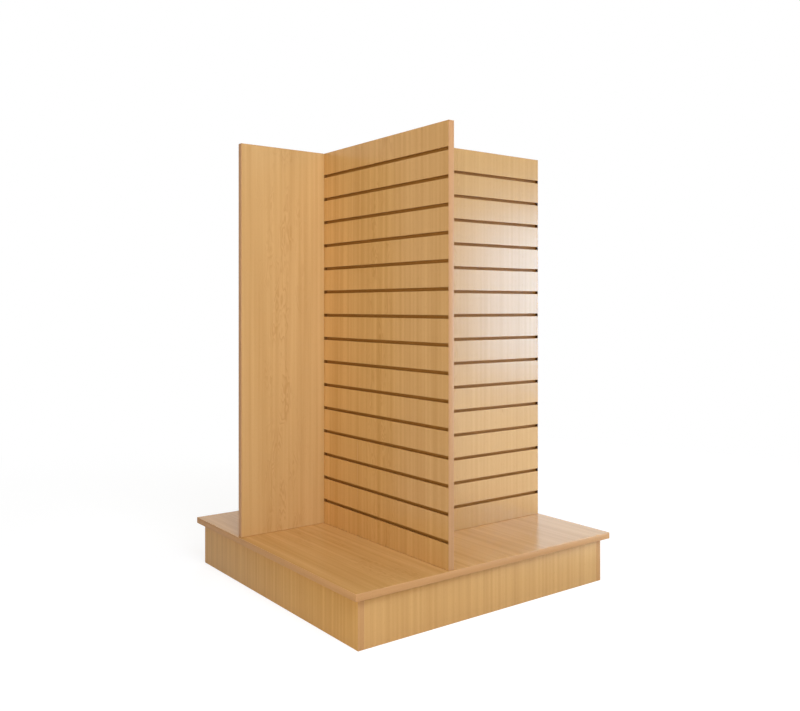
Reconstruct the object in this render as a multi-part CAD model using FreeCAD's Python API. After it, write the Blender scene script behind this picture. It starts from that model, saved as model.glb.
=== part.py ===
"""Four-way slatwall display stand: four grooved panels in a pinwheel on a square plinth.

Millimetres, +Z up, origin on the floor at the middle of the plinth. +Y runs from the front to the back
and +X to the right. The front panel is drawn once and turned by quarter turns for the other three.
"""

import FreeCAD, Part
import math
import os

# ---- driving dimensions ------------------------------------------------------------------------------

# deck and plinth
DECK_SIDE = 965.2  # square deck, over its edge bands
DECK_TOP = 152.4  # floor to the deck's top face
DECK_THICKNESS = 19.05
DECK_OVERHANG = 20.0  # deck edge past the plinth boards
PLINTH_BOARD = 19.0  # plinth boards and rails are this thick
BAND = 1.0  # edge bands

# slatwall panels
PANEL_HEIGHT = 1219.2
PANEL_THICKNESS = 19.05
CORE_SIDE = 355.6  # square core, over the grooved faces
PANEL_SETBACK = 5.0  # panel's outer end back from the deck edge
SLOT_PITCH = 76.2
SLOT_OPENING = 9.5
LIP_THICKNESS = 5.5
CAVITY_HEIGHT = 19.5
GROOVE_DEPTH = 11.0
LEAST_FOOT_SLAT = 60.0  # the lowest slat is at least this high

# rails under the deck
RAIL_SETBACK = 10.0  # rail's outer face inside the panels' plain backs, clear of the foot screws
RAIL_FLOOR_GAP = 6.0

# corner blocks and levelling feet
BLOCK_SIDE = 40.0
BLOCK_BOTTOM = 26.0
NUT_PLATE_SIDE = 30.0
NUT_PLATE_THICKNESS = 4.0
STEM_RADIUS = 4.0
STEM_THREAD_LENGTH = 40.0
STEM_HEX_FLATS = 13.0
STEM_HEX_HEIGHT = 6.0
STEM_HEX_GAP = 1.0  # hexagon to nut plate with the foot turned right up
STEM_NECK_RADIUS = 3.0
STEM_BUTTON_RADIUS = 5.0  # the stem's button turns in the pad's socket
STEM_BUTTON_HEIGHT = 3.0
PAD_CLEARANCE = 2.5  # pad's rim inside the corner block's sides
PAD_RIM_HEIGHT = 4.0
PAD_SOLE = 3.0  # nylon under the stem's button
PAD_TOP_RADIUS = 9.0
PAD_HEIGHT = 10.0

# fasteners
PIN_SIDES = 8  # flats drawn round a screw, a dowel and their holes
FOOT_SIDES = 24  # flats drawn round a levelling foot and the holes it runs in
FIT = 0.05  # radial clearance of a glued or driven fastener in its hole
RUNNING_FIT = 0.1  # clearance of the stem in its nut plate and of its button in the pad
FOOT_SCREW_INSET = 60.0  # foot screws from a panel's end, and from the core's corner
FOOT_SCREW_LENGTH = 50.0
FOOT_SCREW_HEAD_RADIUS = 5.0
FOOT_SCREW_HEAD = 3.5
FOOT_SCREW_RADIUS = 3.0
BLOCK_SCREW_RADIUS = 2.0
BLOCK_SCREW_HEAD_RADIUS = 4.0
BLOCK_SCREW_HEAD = 2.4
BLOCK_SCREW_TIP_COVER = 4.0  # wood left between the screw's tip and the board's show face
BLOCK_SCREW_OFFSET = 11.0  # sideways from the block's middle, clear of the stem's bore
DOWEL_RADIUS = 4.0
DOWEL_IN_FACE = 12.0
DOWEL_IN_END = 18.0
RAIL_DOWEL_SPREAD = 64.0  # between the two dowels at a rail's end
ANGLE_LEG = 25.0
ANGLE_STEEL = 2.0
ANGLE_WIDTH = 20.0
ANGLE_HOLE = 15.0  # screw's axis from the outside of the bend
ANGLE_SCREW_LENGTH = 14.0
ANGLE_SCREW_RADIUS = 2.0
ANGLE_SCREW_HEAD_RADIUS = 3.8
ANGLE_SCREW_HEAD = 1.8
CORE_ANGLE_SLATS = (1, 5)  # within arm's reach from the top, counted down from the top slat, which is 0

# ---- what follows from them ---------------------------------------------------------------------------

DECK_HALF = DECK_SIDE / 2
DECK_UNDERSIDE = DECK_TOP - DECK_THICKNESS
PLINTH_HALF = DECK_HALF - DECK_OVERHANG
PLINTH_INNER = PLINTH_HALF - PLINTH_BOARD
CORE_HALF = CORE_SIDE / 2
CORE_INNER = CORE_HALF - PANEL_THICKNESS
PANEL_MIDDLE = CORE_HALF - PANEL_THICKNESS / 2
PANEL_END = DECK_HALF - PANEL_SETBACK
PANEL_TOP = DECK_TOP + PANEL_HEIGHT
SLOT_COUNT = int((PANEL_HEIGHT - LEAST_FOOT_SLAT) // SLOT_PITCH)
SLAT_COUNT = SLOT_COUNT + 1
RAIL_OUTER = CORE_INNER - RAIL_SETBACK
RAIL_INNER = RAIL_OUTER - PLINTH_BOARD
RAIL_MIDDLE = (RAIL_OUTER + RAIL_INNER) / 2
BLOCK_INNER = PLINTH_INNER - BLOCK_SIDE
BLOCK_MIDDLE = PLINTH_INNER - BLOCK_SIDE / 2
FOOT_SCREW_STATIONS = (FOOT_SCREW_INSET - PANEL_END, -CORE_HALF - FOOT_SCREW_INSET, 0.0)
DOWEL_SLATS = (0, SLAT_COUNT // 2, SLAT_COUNT - 2)

SIDES = ("front", "right", "back", "left")  # in quarter turns from the front
CORNERS = {"front_left": (-1, -1), "front_right": (1, -1), "back_right": (1, 1), "back_left": (-1, 1)}

X, Y, Z = (FreeCAD.Vector(1, 0, 0), FreeCAD.Vector(0, 1, 0), FreeCAD.Vector(0, 0, 1))


# ---- plain shapes -------------------------------------------------------------------------------------


def at(x, y, z):
    return FreeCAD.Vector(x, y, z)


def board(x, y, z):
    """A box from three pairs of limits, each in either order."""
    low = at(min(x), min(y), min(z))
    return Part.makeBox(abs(x[1] - x[0]), abs(y[1] - y[0]), abs(z[1] - z[0]), low)


def faceted(sides, *outline):
    """A solid with flat sides round Z, from (corner radius, height) points, with flat ends."""
    turns = [2 * math.pi * n / sides for n in range(sides)]
    rings = [[at(r * math.cos(a), r * math.sin(a), z) for a in turns] for r, z in outline]
    outlines = [rings[0], rings[-1]]
    for low, high in zip(rings, rings[1:]):
        outlines += [[low[n - 1], low[n], high[n], high[n - 1]] for n in range(sides)]
    faces = [Part.Face(Part.makePolygon(points + points[:1])) for points in outlines]
    return Part.Solid(Part.Shell(faces)).removeSplitter()


def pin(radius, low, high):
    return faceted(PIN_SIDES, (radius, low), (radius, high))


def running(radius):
    """Corner radius of a faceted hole whose flats run clear of a turning part."""
    return (radius + RUNNING_FIT) / math.cos(math.pi / FOOT_SIDES)


def placed(shape, start, along):
    """A shape drawn up the Z axis, moved so that it starts at a point and runs along a direction."""
    moved = shape.copy()
    moved.Placement = FreeCAD.Placement(start, FreeCAD.Rotation(Z, along))
    return moved


def group(shape, places):
    """One shape at each (start, direction)."""
    return [placed(shape, start, along) for start, along in places]


def turned(shape, quarter_turns):
    """A copy turned about the stand's middle."""
    copy = shape.copy()
    copy.rotate(at(0, 0, 0), Z, 90 * quarter_turns)
    return copy


def all_round(shapes):
    """Each shape at all four quarter turns."""
    return [turned(shape, n) for shape in shapes for n in range(len(SIDES))]


def slat_middle(number):
    """Height of the middle of a slat, counted down from the top one."""
    return PANEL_TOP - (number + 0.5) * SLOT_PITCH


# ---- fasteners, drawn up the Z axis from the face that they enter ---------------------------------------


def foot_screw(clearance=0.0):
    """Flat-headed screw up through the deck into a panel's foot, or with a clearance, its hole."""
    head_radius = FOOT_SCREW_HEAD_RADIUS + clearance
    head = FOOT_SCREW_HEAD + clearance
    radius = FOOT_SCREW_RADIUS + clearance
    tip = FOOT_SCREW_LENGTH + clearance
    return faceted(PIN_SIDES, (head_radius, 0), (head_radius, head), (radius, head), (radius, tip))


def block_screw(clearance=0.0):
    """Screw through a corner block into a plinth board, or with a clearance, its hole."""
    head_radius = BLOCK_SCREW_HEAD_RADIUS + clearance
    head = BLOCK_SCREW_HEAD + clearance
    radius = BLOCK_SCREW_RADIUS + clearance
    tip = BLOCK_SIDE + PLINTH_BOARD - BLOCK_SCREW_TIP_COVER + clearance
    return faceted(PIN_SIDES, (head_radius, 0), (head_radius, head), (radius, head), (radius, tip))


def angle_screw():
    """Pan-head screw, its head on the angle's steel."""
    head_radius = ANGLE_SCREW_HEAD_RADIUS
    radius = ANGLE_SCREW_RADIUS
    head = [(head_radius, -ANGLE_SCREW_HEAD), (head_radius, 0)]
    return faceted(PIN_SIDES, *head, (radius, 0), (radius, ANGLE_SCREW_LENGTH))


def angle_screw_hole():
    """Hole through an angle's steel and on into the wood."""
    return pin(ANGLE_SCREW_RADIUS + FIT, 0, ANGLE_SCREW_LENGTH + FIT)


def dowel(clearance=0.0):
    """Dowel from the bottom of its hole in a face, through the joint, into the end that meets it."""
    return pin(DOWEL_RADIUS + clearance, -clearance, DOWEL_IN_FACE + DOWEL_IN_END + clearance)


# ---- where the fasteners sit ----------------------------------------------------------------------------


def foot_screw_places():
    """(start, direction) of the front panel's foot screws, from the deck's underside."""
    return [(at(-PANEL_MIDDLE, y, DECK_UNDERSIDE), Z) for y in FOOT_SCREW_STATIONS]


def panel_dowel_places():
    """(start, direction) of the dowels in the front panel's inner end, from inside the next panel's back."""
    return [(at(-PANEL_MIDDLE, CORE_INNER + DOWEL_IN_FACE, slat_middle(n)), -Y) for n in DOWEL_SLATS]


def block_screw_places(sign_x, sign_y):
    """(start, direction) of one corner block's two screws, from its inner faces."""
    middle = (BLOCK_BOTTOM + DECK_UNDERSIDE) / 2
    apart = BLOCK_SIDE / 2
    aside = BLOCK_MIDDLE - BLOCK_SCREW_OFFSET
    to_side_board = at(sign_x * BLOCK_INNER, sign_y * aside, middle + apart)
    to_end_board = at(sign_x * aside, sign_y * BLOCK_INNER, middle)
    return [(to_side_board, X * sign_x), (to_end_board, Y * sign_y)]


def all_block_screw_places():
    return [place for signs in CORNERS.values() for place in block_screw_places(*signs)]


def rail_dowel_places():
    """(start, direction) of the rails' dowels, from inside the face that each rail's end meets."""
    middle = (RAIL_FLOOR_GAP + DECK_UNDERSIDE) / 2
    places = []
    for z in (middle - RAIL_DOWEL_SPREAD / 2, middle + RAIL_DOWEL_SPREAD / 2):
        for side in (-1, 1):
            for end in (-1, 1):
                in_plinth = at(side * RAIL_MIDDLE, end * (PLINTH_INNER + DOWEL_IN_FACE), z)
                in_long_rail = at(end * (RAIL_INNER + DOWEL_IN_FACE), side * RAIL_MIDDLE, z)
                places.append((in_plinth, Y * -end))
                places.append((in_long_rail, X * -end))
    return places


def steel_angle():
    """Angle in the corner between the planes y = 0 and z = 0, with the outside of its bend cut back."""
    bend = ANGLE_STEEL / 2
    leg = ANGLE_LEG
    steel = ANGLE_STEEL
    outline = [(leg, 0), (bend, 0), (0, -bend), (0, -leg), (steel, -leg), (steel, -steel), (leg, -steel)]
    points = [at(-ANGLE_WIDTH / 2, y, z) for y, z in outline]
    return Part.Face(Part.makePolygon(points + points[:1])).extrude(X * ANGLE_WIDTH)


def angle_screws_at(screw):
    """A shape at both of the angle's screws: up into the plane z = 0 and out into the plane y = 0."""
    up = placed(screw, at(0, ANGLE_HOLE, -ANGLE_STEEL), Z)
    out = placed(screw, at(0, ANGLE_STEEL, -ANGLE_HOLE), -Y)
    return [up, out]


def under_deck(shapes):
    """Shapes of one angle, moved to the middle of the front board, then to all four boards."""
    for shape in shapes:
        shape.translate(at(0, -PLINTH_INNER, DECK_UNDERSIDE))
    return all_round(shapes)


def in_core(shapes):
    """Shapes of one angle, stood in the core's front left corner, then in all four corners."""
    on_end = FreeCAD.Placement(at(0, 0, 0), FreeCAD.Rotation(Y, -90))
    stood = []
    for n in CORE_ANGLE_SLATS:
        for shape in shapes:
            copy = shape.copy()
            copy.Placement = on_end.multiply(shape.Placement)
            copy.translate(at(-CORE_INNER, -CORE_INNER, slat_middle(n)))
            stood.append(copy)
    return all_round(stood)


# ---- base -----------------------------------------------------------------------------------------------


def deck_board():
    half = DECK_HALF - BAND
    blank = board((-half, half), (-half, half), (DECK_UNDERSIDE, DECK_TOP))
    foot_screw_holes = all_round(group(foot_screw(FIT), foot_screw_places()))
    return blank.cut(foot_screw_holes + under_deck(angle_screws_at(angle_screw_hole())))


def deck_bands():
    """The front and back bands run the full width, the side ones fit between them."""
    half = DECK_HALF
    height = (DECK_UNDERSIDE, DECK_TOP)
    front = board((-half, half), (-half, BAND - half), height)
    right = board((half - BAND, half), (BAND - half, half - BAND), height)
    shapes = (front, right, turned(front, 2), turned(right, 2))
    return {f"deck_band_{side}": shape for side, shape in zip(SIDES, shapes)}


def plinth_boards():
    """The side boards run the full depth, the front and back ones fit between them."""
    height = (0, DECK_UNDERSIDE)
    front = board((-PLINTH_INNER, PLINTH_INNER), (-PLINTH_HALF, -PLINTH_INNER), height)
    right = board((PLINTH_INNER, PLINTH_HALF), (BAND - PLINTH_HALF, PLINTH_HALF - BAND), height)
    shapes = (front, right, turned(front, 2), turned(right, 2))
    holes = under_deck(angle_screws_at(angle_screw_hole())) + block_screw_holes() + rail_dowel_holes()
    return {f"plinth_board_{side}": shape.cut(holes) for side, shape in zip(SIDES, shapes)}


def plinth_end_bands():
    """Bands on the ends of the side boards."""
    bands = {}
    for corner, (sign_x, sign_y) in CORNERS.items():
        across = (sign_x * PLINTH_INNER, sign_x * PLINTH_HALF)
        along = (sign_y * (PLINTH_HALF - BAND), sign_y * PLINTH_HALF)
        bands[f"plinth_band_{corner}"] = board(across, along, (0, DECK_UNDERSIDE))
    return bands


def block_screw_holes():
    return group(block_screw(FIT), all_block_screw_places())


def rail_dowel_holes():
    return group(dowel(FIT), rail_dowel_places())


def corner_blocks():
    """Softwood blocks bored from below for the levelling feet's stems."""
    radius = running(STEM_RADIUS)
    bore = faceted(FOOT_SIDES, (radius, 0), (radius, STEM_THREAD_LENGTH))
    holes = block_screw_holes()
    blocks = {}
    for corner, (sign_x, sign_y) in CORNERS.items():
        across = (sign_x * BLOCK_INNER, sign_x * PLINTH_INNER)
        along = (sign_y * BLOCK_INNER, sign_y * PLINTH_INNER)
        blank = board(across, along, (BLOCK_BOTTOM, DECK_UNDERSIDE))
        middle = at(sign_x * BLOCK_MIDDLE, sign_y * BLOCK_MIDDLE, BLOCK_BOTTOM)
        blocks[f"corner_block_{corner}"] = blank.cut(holes + [placed(bore, middle, Z)])
    return blocks


def rails():
    """Two rails run from the front board to the back one, and two cross rails fit between them."""
    height = (RAIL_FLOOR_GAP, DECK_UNDERSIDE)
    right = board((RAIL_INNER, RAIL_OUTER), (-PLINTH_INNER, PLINTH_INNER), height)
    front = board((-RAIL_INNER, RAIL_INNER), (-RAIL_OUTER, -RAIL_INNER), height)
    shapes = (front, right, turned(front, 2), turned(right, 2))
    holes = rail_dowel_holes()
    return {f"rail_{side}": shape.cut(holes) for side, shape in zip(SIDES, shapes)}


# ---- slatwall panels ------------------------------------------------------------------------------------


def groove(z):
    """A T-groove along the front panel: a narrow mouth between two lips, and a taller cavity behind them."""
    face = -CORE_HALF
    lip = face + LIP_THICKNESS
    back = face + GROOVE_DEPTH
    mouth = SLOT_OPENING / 2
    cavity = CAVITY_HEIGHT / 2
    upper = [(face, mouth), (lip, mouth), (lip, cavity), (back, cavity)]
    lower = [(x, -height) for x, height in reversed(upper)]
    outline = [at(x, -PANEL_END, z + height) for x, height in upper + lower]
    section = Part.Face(Part.makePolygon(outline + outline[:1]))
    return section.extrude(Y * (PANEL_END + CORE_INNER))


def slatwall_board():
    """The front panel: its grooves face -X and its plain back faces the core."""
    across = (-CORE_HALF, -CORE_INNER)
    along = (BAND - PANEL_END, CORE_INNER)
    blank = board(across, along, (DECK_TOP, PANEL_TOP - BAND))
    grooves = [groove(PANEL_TOP - n * SLOT_PITCH) for n in range(1, SLOT_COUNT + 1)]
    dowel_holes = all_round(group(dowel(FIT), panel_dowel_places()))
    foot_holes = group(foot_screw(FIT), foot_screw_places())
    angle_holes = in_core(angle_screws_at(angle_screw_hole()))
    return blank.cut(grooves).cut(dowel_holes + foot_holes + angle_holes)


def slatwall_panels():
    """Four boards, each with a band on its outer end and one along its top edge."""
    across = (-CORE_HALF, -CORE_INNER)
    grooved = slatwall_board()
    end = board(across, (-PANEL_END, BAND - PANEL_END), (DECK_TOP, PANEL_TOP))
    top = board(across, (BAND - PANEL_END, CORE_INNER), (PANEL_TOP - BAND, PANEL_TOP))
    pieces = {}
    for n, side in enumerate(SIDES):
        pieces[f"slatwall_{side}"] = turned(grooved, n)
        pieces[f"slatwall_end_band_{side}"] = turned(end, n)
        pieces[f"slatwall_top_band_{side}"] = turned(top, n)
    return pieces


# ---- levelling feet -------------------------------------------------------------------------------------


def nut_plate():
    """Square plate under a corner block, with the stem's thread through its middle."""
    half = NUT_PLATE_SIDE / 2
    radius = running(STEM_RADIUS)
    plate = board((-half, half), (-half, half), (-NUT_PLATE_THICKNESS, 0))
    return plate.cut(faceted(FOOT_SIDES, (radius, -NUT_PLATE_THICKNESS), (radius, 0)))


def leveler_stem():
    """Button, neck, hexagon and threaded stem, from the floor up, with the foot turned right up."""
    button_top = PAD_SOLE + STEM_BUTTON_HEIGHT
    hex_top = BLOCK_BOTTOM - NUT_PLATE_THICKNESS - STEM_HEX_GAP
    hex_bottom = hex_top - STEM_HEX_HEIGHT
    hex_corner = STEM_HEX_FLATS / math.sqrt(3)
    button = [(STEM_BUTTON_RADIUS, PAD_SOLE), (STEM_BUTTON_RADIUS, button_top)]
    neck = [(STEM_NECK_RADIUS, button_top), (STEM_NECK_RADIUS, hex_bottom)]
    foot = faceted(FOOT_SIDES, *button, *neck)
    hexagon = faceted(6, (hex_corner, hex_bottom), (hex_corner, hex_top))
    thread = faceted(FOOT_SIDES, (STEM_RADIUS, hex_top), (STEM_RADIUS, hex_top + STEM_THREAD_LENGTH))
    return foot.fuse([hexagon, thread])


def leveler_pad():
    """Nylon pad with a sloping top and the socket that holds the stem's button."""
    rim = BLOCK_SIDE / 2 - PAD_CLEARANCE
    socket = running(STEM_BUTTON_RADIUS)
    mouth = running(STEM_NECK_RADIUS)
    socket_top = PAD_SOLE + STEM_BUTTON_HEIGHT + RUNNING_FIT
    outside = [(rim, 0), (rim, PAD_RIM_HEIGHT), (PAD_TOP_RADIUS, PAD_HEIGHT)]
    inside = [(mouth, PAD_HEIGHT), (mouth, socket_top), (socket, socket_top), (socket, PAD_SOLE)]
    return faceted(FOOT_SIDES, *outside, *inside)


def levelers():
    pieces = {}
    for corner, (sign_x, sign_y) in CORNERS.items():
        foot = at(sign_x * BLOCK_MIDDLE, sign_y * BLOCK_MIDDLE, 0)
        plate = foot + Z * BLOCK_BOTTOM
        pieces[f"leveler_pad_{corner}"] = placed(leveler_pad(), foot, Z)
        pieces[f"leveler_stem_{corner}"] = placed(leveler_stem(), foot, Z)
        pieces[f"nut_plate_{corner}"] = placed(nut_plate(), plate, Z)
    return pieces


# ---- the stand ------------------------------------------------------------------------------------------


def fasteners():
    """Identical fasteners, one group of separate solids for each kind."""
    return {
        "foot_screws": all_round(group(foot_screw(), foot_screw_places())),
        "corner_block_screws": group(block_screw(), all_block_screw_places()),
        "rail_dowels": group(dowel(), rail_dowel_places()),
        "panel_dowels": all_round(group(dowel(), panel_dowel_places())),
        "deck_angles": under_deck([steel_angle().cut(angle_screws_at(angle_screw_hole()))]),
        "deck_angle_screws": under_deck(angle_screws_at(angle_screw())),
        "core_angles": in_core([steel_angle().cut(angle_screws_at(angle_screw_hole()))]),
        "core_angle_screws": in_core(angle_screws_at(angle_screw())),
    }


def stand():
    """Every node of the stand, by name."""
    nodes = {"deck_board": deck_board()}
    for pieces in (deck_bands(), plinth_boards(), plinth_end_bands(), corner_blocks(), rails()):
        nodes.update(pieces)
    nodes.update(slatwall_panels())
    nodes.update(levelers())
    for name, shapes in fasteners().items():
        nodes[name] = Part.makeCompound(shapes)
    return nodes


os.makedirs("parts", exist_ok=True)
for name, shape in stand().items():
    shape.exportStep(f"parts/{name}.step")
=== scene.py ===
"""Looks of a four-way slatwall display stand: boards, bands, feet, fastenings, their finishes and the studio.

Everything is in metres in the stand's own frame. The origin is on the floor under the plinth's middle, +Z is
up, +Y runs from front to back and +X runs to the right.
"""

import logging
import math
from dataclasses import dataclass, replace
from enum import Enum
from functools import cache
from typing import Mapping, Sequence

import bmesh
import bpy
import numpy as np
from mathutils import Matrix, Vector


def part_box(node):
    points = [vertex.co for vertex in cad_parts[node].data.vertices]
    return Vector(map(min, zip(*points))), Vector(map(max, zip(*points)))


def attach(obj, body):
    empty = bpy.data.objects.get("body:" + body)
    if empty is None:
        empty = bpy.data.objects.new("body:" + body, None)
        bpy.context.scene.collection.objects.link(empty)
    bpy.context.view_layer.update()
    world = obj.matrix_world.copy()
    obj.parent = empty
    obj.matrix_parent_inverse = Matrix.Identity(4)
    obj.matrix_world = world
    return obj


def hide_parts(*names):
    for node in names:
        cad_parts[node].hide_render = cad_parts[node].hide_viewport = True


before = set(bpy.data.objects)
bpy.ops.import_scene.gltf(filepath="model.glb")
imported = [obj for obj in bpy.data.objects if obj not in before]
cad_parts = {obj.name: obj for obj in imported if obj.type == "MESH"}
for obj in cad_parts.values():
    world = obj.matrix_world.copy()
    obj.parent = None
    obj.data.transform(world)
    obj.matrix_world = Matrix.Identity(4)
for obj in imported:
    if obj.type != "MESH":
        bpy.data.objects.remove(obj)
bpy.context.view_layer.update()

MM = 0.001
HAIR = 0.01 * MM  # what lies nearer than this touches
QUARTER = math.pi / 2
ORIGIN = (0.0, 0.0, 0.0)
STAND = "stand"  # the body of everything but the feet's stems and pads
ARRIS = "arris"  # the attribute that marks rounded edges
WHITE = (1.0, 1.0, 1.0, 1.0)
FLAT = math.radians(0.5)  # faces that turn less than this are one face
FOLDED = math.radians(40.0)  # an edge that turns more than this is sharp
CRISP = math.radians(50.0)  # an edge that turns more than this isn't shaded smooth

Colour = tuple[float, float, float]
Opaque = tuple[float, float, float, float]
Point = tuple[float, float, float]
Colours = tuple[Colour, ...]
Points = tuple[Point, ...]
Face = tuple[int, int]
Inputs = Mapping[int | str, object]
Shape = bmesh.types.BMesh
Look = tuple["Value", "Value", "Value"]
Tree = bpy.types.NodeTree
Material = bpy.types.Material
Mesh = bpy.types.Mesh

log = logging.getLogger("display_stand")


# ---- names of places and options ----


class Grain(Enum):
    """How a board's grain lies: the axis along the grain, and the axis across it on the board's face."""

    UPRIGHT_ACROSS_X = ((0, 0, 1), (1, 0, 0))
    UPRIGHT_ACROSS_Y = ((0, 0, 1), (0, 1, 0))
    LEVEL_ALONG_X = ((1, 0, 0), (0, 1, 0))
    LEVEL_ALONG_Y = ((0, 1, 0), (1, 0, 0))
    EDGE_ALONG_X = ((1, 0, 0), (0, 0, 1))
    EDGE_ALONG_Y = ((0, 1, 0), (0, 0, 1))

    @property
    def axes(self) -> Matrix:
        """The turn from the stand's axes to the pattern's own: across, into and along the board."""
        along, across = (Vector(axis) for axis in self.value)
        return Matrix((across, along.cross(across), along))


class Place(Enum):
    """A place on the stand."""

    @property
    def word(self) -> str:
        """The place's name as it stands in node names."""
        return self.name.lower()


class Side(Place):
    """The stand's four sides. The value is how many quarter turns carry the front side there."""

    FRONT = 0
    RIGHT = 1
    BACK = 2
    LEFT = 3

    @property
    def outward(self) -> Face:
        """The axis that the side faces along, and which way."""
        return int(self in (Side.FRONT, Side.BACK)), -1 if self in (Side.FRONT, Side.LEFT) else 1

    @property
    def next(self) -> "Side":
        """The next side, a quarter turn on: the plain face of this side's board looks that way."""
        return Side((self.value + 1) % len(Side))

    @property
    def turn(self) -> Matrix:
        """The turn about Z that carries the front side here."""
        return Matrix.Rotation(self.value * QUARTER, 3, "Z")

    @property
    def upright(self) -> Grain:
        """Upright grain on a board that faces this side."""
        return Grain.UPRIGHT_ACROSS_X if self.outward[0] else Grain.UPRIGHT_ACROSS_Y

    @property
    def along(self) -> Grain:
        """Level grain on an edge that faces this side."""
        return Grain.EDGE_ALONG_X if self.outward[0] else Grain.EDGE_ALONG_Y


class Corner(Place):
    """The plinth's four corners, by the signs of their X and Y."""

    FRONT_LEFT = (-1, -1)
    FRONT_RIGHT = (1, -1)
    BACK_RIGHT = (1, 1)
    BACK_LEFT = (-1, 1)


class Head(Enum):
    """Shapes of screw head, each by its rings from the top: shares of the head's radius and of its height."""

    COUNTERSUNK = ((0.96, 0.0), (1.0, 0.06), (1.0, 0.16))
    PAN = ((0.5, 0.0), (0.78, 0.08), (0.95, 0.3), (1.0, 0.62), (1.0, 0.99))


class Kind(Enum):
    """Kinds of socket that start without a value."""

    COLOUR = "NodeSocketColor"
    MATERIAL = "NodeSocketMaterial"
    GEOMETRY = "NodeSocketGeometry"


# ---- node trees ----


class Value:
    """A node's output that sums can be written with: each sign adds a Math node to the same tree."""

    def __init__(self, wiring: "Wiring", socket: bpy.types.NodeSocket) -> None:
        """Keeps the output and the wiring of its tree."""
        self.wiring = wiring
        self.socket = socket

    def __add__(self, other: object) -> "Value":
        """The sum."""
        return self.wiring.math("ADD", self, other)

    def __sub__(self, other: object) -> "Value":
        """The difference."""
        return self.wiring.math("SUBTRACT", self, other)

    def __mul__(self, other: object) -> "Value":
        """The product."""
        return self.wiring.math("MULTIPLY", self, other)

    def __truediv__(self, other: object) -> "Value":
        """The quotient."""
        return self.wiring.math("DIVIDE", self, other)


class Wiring:
    """Adds nodes to one tree and joins their sockets. Patterns are read at its place."""

    def __init__(self, tree: Tree) -> None:
        """Keeps the tree that the nodes go into."""
        self.tree = tree
        self.place: Value | None = None

    def node(self, kind: str, inputs: Inputs | None = None, **settings: object) -> bpy.types.Node:
        """Adds a node.

        Args:
            kind: The node's class name.
            inputs: What feeds each input, by name or number.
            settings: The node's own properties.

        Returns:
            The new node.
        """
        made = self.tree.nodes.new(kind)
        for name, value in settings.items():
            setattr(made, name, value)
        for key, value in (inputs or {}).items():
            self.feed(made.inputs[key], value)
        return made

    def feed(self, socket: bpy.types.NodeSocket, value: object) -> None:
        """Feeds a socket.

        Args:
            socket: The socket.
            value: Another node's output or a list of them, which are linked, or the socket's own value.
        """
        if isinstance(value, (Value, list)):
            for source in value if isinstance(value, list) else [value]:
                self.tree.links.new(source.socket, socket)
        else:
            socket.default_value = value

    def value(
        self, kind: str, inputs: Inputs | None = None, output: int | str = 0, **settings: object
    ) -> Value:
        """Adds a node and gives one of its outputs."""
        return Value(self, self.node(kind, inputs, **settings).outputs[output])

    def outputs(self, kind: str, inputs: Inputs | None = None, **settings: object) -> dict[str, Value]:
        """Adds a node and gives its outputs by name."""
        return {socket.name: Value(self, socket) for socket in self.node(kind, inputs, **settings).outputs}

    def effect(self, tree: Tree, inputs: Inputs) -> dict[str, Value]:
        """Adds a shared effect, read at the wiring's place, and gives its outputs by name."""
        return self.outputs("ShaderNodeGroup", {"Place": self.place, **inputs}, node_tree=tree)

    def math(self, operation: str, *values: object, clamp: bool = False) -> Value:
        """Adds a Math node, its result kept between 0 and 1 where clamp is set."""
        return self.value("ShaderNodeMath", dict(enumerate(values)), operation=operation, use_clamp=clamp)

    def below(self, value: Value, limit: object) -> Value:
        """A mask: 1 where the value is under the limit."""
        return self.math("LESS_THAN", value, limit)

    def above(self, value: Value, limit: object) -> Value:
        """A mask: 1 where the value is over the limit."""
        return self.math("GREATER_THAN", value, limit)

    def vector(self, operation: str, *values: object) -> Value:
        """Adds a Vector Math node. The length of a vector is a number, and all else is a vector."""
        output = "Value" if operation == "LENGTH" else "Vector"
        return self.value("ShaderNodeVectorMath", dict(enumerate(values)), output, operation=operation)

    def point(self, x: object = 0.0, y: object = 0.0, z: object = 0.0) -> Value:
        """Joins three numbers into a vector."""
        return self.value("ShaderNodeCombineXYZ", {"X": x, "Y": y, "Z": z})

    def parts(self, vector: Value) -> list[Value]:
        """Splits a vector into its three numbers."""
        return list(self.outputs("ShaderNodeSeparateXYZ", {0: vector}).values())

    def scaled(self, colour: Value, share: Value) -> Value:
        """A colour made lighter or darker."""
        return self.vector("MULTIPLY", colour, self.point(share, share, share))

    def rise(self, value: Value, low: object, high: object, start: float = 0.0, end: float = 1.0) -> Value:
        """Maps a value smoothly: it is start at and below low, and end at and above high."""
        inputs = {0: value, 1: low, 2: high, 3: start, 4: end}
        return self.value("ShaderNodeMapRange", inputs, interpolation_type="SMOOTHSTEP")

    def noise(
        self, stretch: Point, detail: float = 0.0, rough: float = 0.5, place: Value | None = None
    ) -> Value:
        """Noise around 0.5 that changes so many times a metre on each axis, in layers by its detail."""
        stretched = self.vector("MULTIPLY", place or self.place, stretch)
        return self.value("ShaderNodeTexNoise", {0: stretched, 2: 1.0, 3: detail, 4: rough})

    def blend(self, share: Value, under: object, over: object) -> Value:
        """Mixes two colours. The share says how much of the second one shows."""
        return self.value("ShaderNodeMix", {0: share, 6: under, 7: over}, 2, data_type="RGBA")


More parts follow.
